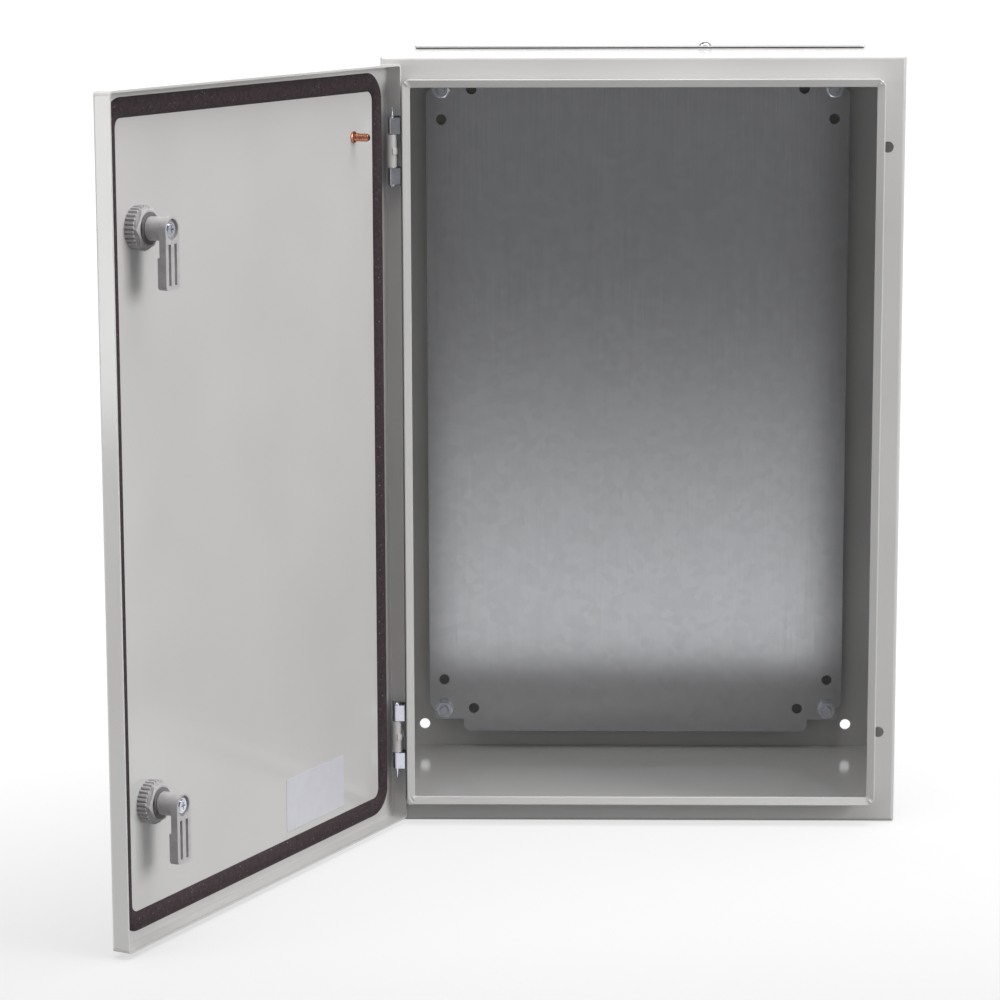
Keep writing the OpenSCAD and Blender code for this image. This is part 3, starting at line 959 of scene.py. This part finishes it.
def drops_at(sx, sz):
    """Drops at one corner of the lip, as (inward, deep, radius) in millimetres."""
    # The weld at the lower corner on the hinge side is the thickest.
    if sx < 0 and sz < 0:
        return ((2.4, 2.1, 3.0), (4.4, 2.1, 2.2), (1.6, 0.8, 1.8))
    return ((2.8, 0.9, 1.3), (3.7, 1.0, 1.1))


def paint_drop(bm, middle, radius):
    """A lump of weld under paint: a ball with a few soft hollows."""
    hollow, hollows_per_radius = 0.16, 1.3
    # Each drop reads the noise at a place of its own, so that no two are alike.
    own_noise = middle * 700
    made = bmesh.ops.create_icosphere(bm, subdivisions=3, radius=radius)
    for v in made["verts"]:
        dent = noise.noise(v.co / radius * hollows_per_radius + own_noise)
        v.co *= 1 + hollow * dent
    bmesh.ops.translate(bm, verts=made["verts"], vec=middle)


class ENCLOSURE_OT_welds(bpy.types.Operator):
    """Painted weld drops at the corners of the lip"""

    bl_idname = "enclosure.welds"
    bl_label = "Welds"

    def execute(self, context):
        bm = bmesh.new()
        for sx in (-1, 1):
            for sz in (-1, 1):
                corner = Vector((sx * LIP_X, BODY_LOW.y, sz * LIP_Z))
                for inward, deep, radius in drops_at(sx, sz):
                    shift = Vector((-sx * inward, deep, -sz * inward)) * MM
                    paint_drop(bm, corner + shift, radius * MM)
        finish_piece(
            bm, "lip_welds", "enclosure", "powder_coat", smooth=80
        )
        return {"FINISHED"}


# ---- stage ----


def soft_box(name, place, size, power):
    """One rectangular area lamp, aimed at the middle of the enclosure."""
    light = bpy.data.lights.new(name, "AREA")
    light.shape = "RECTANGLE"
    light.size, light.size_y = size
    light.energy = power
    lamp = bpy.data.objects.new(name, light)
    lamp.location = place
    way = Vector(LAMP_AIM) - Vector(place)
    lamp.rotation_euler = way.to_track_quat("-Z", "Y").to_euler()
    bpy.context.scene.collection.objects.link(lamp)


def studio_paper(stage):
    """Pale background paper: white round the enclosure, greyer far in front of it."""
    colour = linear("8A8A8A")
    material, tree, shader, place = start_material(
        "background_paper", colour, Metallic=0.0, Roughness=0.9
    )
    fibre = node(
        tree,
        "ShaderNodeTexNoise",
        {"Vector": place, "Scale": 1 / (3 * MM), "Detail": 2.0},
    )
    bump = node(
        tree,
        "ShaderNodeBump",
        {"Height": fibre.outputs["Fac"], "Strength": 0.05, "Distance": 0.1 * MM},
    )
    tree.links.new(bump.outputs["Normal"], shader.inputs["Normal"])
    ray = node(tree, "ShaderNodeLightPath")
    plain = node(
        tree,
        "ShaderNodeMath",
        {0: ray.outputs["Is Camera Ray"], 1: ray.outputs["Is Glossy Ray"]},
        operation="ADD",
    )
    seen = node(
        tree,
        "ShaderNodeMath",
        {0: plain.outputs["Value"], 1: ray.outputs["Is Transmission Ray"]},
        operation="ADD",
        use_clamp=True,
    )
    # Only rays that see or mirror the paper find it this white: it lights nothing.
    # The white ends 2.6 m in front of the enclosure's back, and grows a little
    # behind it, so that floor and backdrop are one.
    depth = node(tree, "ShaderNodeSeparateXYZ", {"Vector": place}).outputs["Y"]
    near = node(
        tree,
        "ShaderNodeMapRange",
        {"Value": depth, "From Min": -2.6, "From Max": 0.2, "To Max": stage.paper_glow},
    )
    far = node(
        tree,
        "ShaderNodeMapRange",
        {
            "Value": depth,
            "From Min": 0.5,
            "From Max": 4.0,
            "To Min": near.outputs["Result"],
            "To Max": 1.03,
        },
    )
    glow = node(
        tree,
        "ShaderNodeMath",
        {0: seen.outputs["Value"], 1: far.outputs["Result"]},
        operation="MULTIPLY",
    )
    shader.inputs["Emission Color"].default_value = (1, 1, 1, 1)
    tree.links.new(glow.outputs["Value"], shader.inputs["Emission Strength"])
    return material


def place_camera(scene, focal_length):
    """The camera, turned about its own axes from a level look along Y."""
    lens = bpy.data.cameras.new("camera")
    lens.sensor_width = 36
    lens.lens = focal_length
    lens.clip_end = 50
    camera = bpy.data.objects.new("camera", lens)
    turn = (
        Matrix.Rotation(radians(CAMERA_PAN), 4, "Z")
        @ Matrix.Rotation(radians(CAMERA_TILT), 4, "X")
        @ Matrix.Rotation(radians(CAMERA_ROLL), 4, "Y")
        @ Matrix.Rotation(pi / 2, 4, "X")
    )
    camera.matrix_world = Matrix.Translation(CAMERA_PLACE) @ turn
    scene.collection.objects.link(camera)
    scene.camera = camera


def light_surround(scene, brightness):
    """A plain white world that fills the shadows."""
    world = bpy.data.worlds.new("studio")
    world.use_nodes = True
    tree = world.node_tree
    tree.nodes.clear()
    white = {"Color": (1, 1, 1, 1), "Strength": brightness}
    background = node(tree, "ShaderNodeBackground", white)
    node(tree, "ShaderNodeOutputWorld", {"Surface": background.outputs["Background"]})
    scene.world = world


def paper_sweep(material):
    """Floor and backdrop in one: a flat run, a quarter turn up, and an upright run."""
    bm = bmesh.new()
    floor_z = BODY_LOW.z - UNDER_BODY
    sides = (-PAPER_HALF_WIDTH, PAPER_HALF_WIDTH)
    front = [bm.verts.new((x, PAPER_FRONT, floor_z)) for x in sides]
    made = bmesh.ops.extrude_edge_only(bm, edges=[bm.edges.new(front)])
    verts = new_verts(made)
    bmesh.ops.translate(bm, verts=verts, vec=(0, PAPER_BACK - PAPER_FRONT, 0))
    made = bmesh.ops.spin(
        bm,
        geom=new_edges(made) + verts,
        cent=(0, PAPER_BACK, BODY_LOW.z + PAPER_RISE_RADIUS),
        axis=(1, 0, 0),
        angle=pi / 2,
        steps=24,
        use_duplicate=False,
    )
    made = bmesh.ops.extrude_edge_only(bm, edges=last_edges(made))
    bmesh.ops.translate(bm, verts=new_verts(made), vec=(0, 0, PAPER_BACKDROP))
    return object_from(bm, "paper_sweep", material)


class ENCLOSURE_OT_stage(bpy.types.Operator):
    """Camera, lamps, white surround and pale paper sweep"""

    bl_idname = "enclosure.stage"
    bl_label = "Stage"

    def execute(self, context):
        scene = context.scene
        stage = scene.enclosure_stage
        scene.view_settings.view_transform = "Standard"

        place_camera(scene, stage.lens)
        soft_box("top_box", (0.1, -0.45, 2.3), (2.4, 2.0), stage.top_lamp)
        soft_box("side_box", (2.7, -1.5, 0.9), (1.4, 1.6), stage.side_lamp)
        soft_box("left_box", (-2.5, -1.5, 0.3), (1.2, 1.2), stage.left_lamp)
        light_surround(scene, stage.surround)
        paper_sweep(studio_paper(stage))
        return {"FINISHED"}


# ---- panel and registration ----


class ENCLOSURE_PT_panel(bpy.types.Panel):
    """The enclosure's finishes, pieces and stage"""

    bl_idname = "ENCLOSURE_PT_panel"
    bl_label = "Wall Enclosure"
    bl_space_type = "VIEW_3D"
    bl_region_type = "UI"
    bl_category = "Enclosure"

    def draw(self, context):
        layout = self.layout
        for operator in OPERATORS:
            layout.operator(operator.bl_idname)
        for group in (
            context.scene.enclosure_finish,
            context.scene.enclosure_sizes,
            context.scene.enclosure_stage,
        ):
            box = layout.box()
            for name in group.bl_rna.properties.keys():
                if name not in {"rna_type", "name"}:
                    box.prop(group, name)


OPERATORS = (
    ENCLOSURE_OT_stage,
    ENCLOSURE_OT_finishes,
    ENCLOSURE_OT_door_seal,
    ENCLOSURE_OT_gaskets,
    ENCLOSURE_OT_threads,
    ENCLOSURE_OT_welds,
)
GROUPS = (EnclosureFinish, EnclosureSizes, EnclosureStage)
CLASSES = (*GROUPS, *OPERATORS, ENCLOSURE_PT_panel)


def register():
    for cls in CLASSES:
        bpy.utils.register_class(cls)
    bpy.types.Scene.enclosure_finish = PointerProperty(type=EnclosureFinish)
    bpy.types.Scene.enclosure_sizes = PointerProperty(type=EnclosureSizes)
    bpy.types.Scene.enclosure_stage = PointerProperty(type=EnclosureStage)


def unregister():
    del bpy.types.Scene.enclosure_stage
    del bpy.types.Scene.enclosure_sizes
    del bpy.types.Scene.enclosure_finish
    for cls in reversed(CLASSES):
        bpy.utils.unregister_class(cls)


def main():
    register()
    bpy.ops.enclosure.stage()
    bpy.ops.enclosure.finishes()
    bpy.ops.enclosure.door_seal()
    bpy.ops.enclosure.gaskets()
    bpy.ops.enclosure.threads()
    bpy.ops.enclosure.welds()


if __name__ == "__main__":
    main()
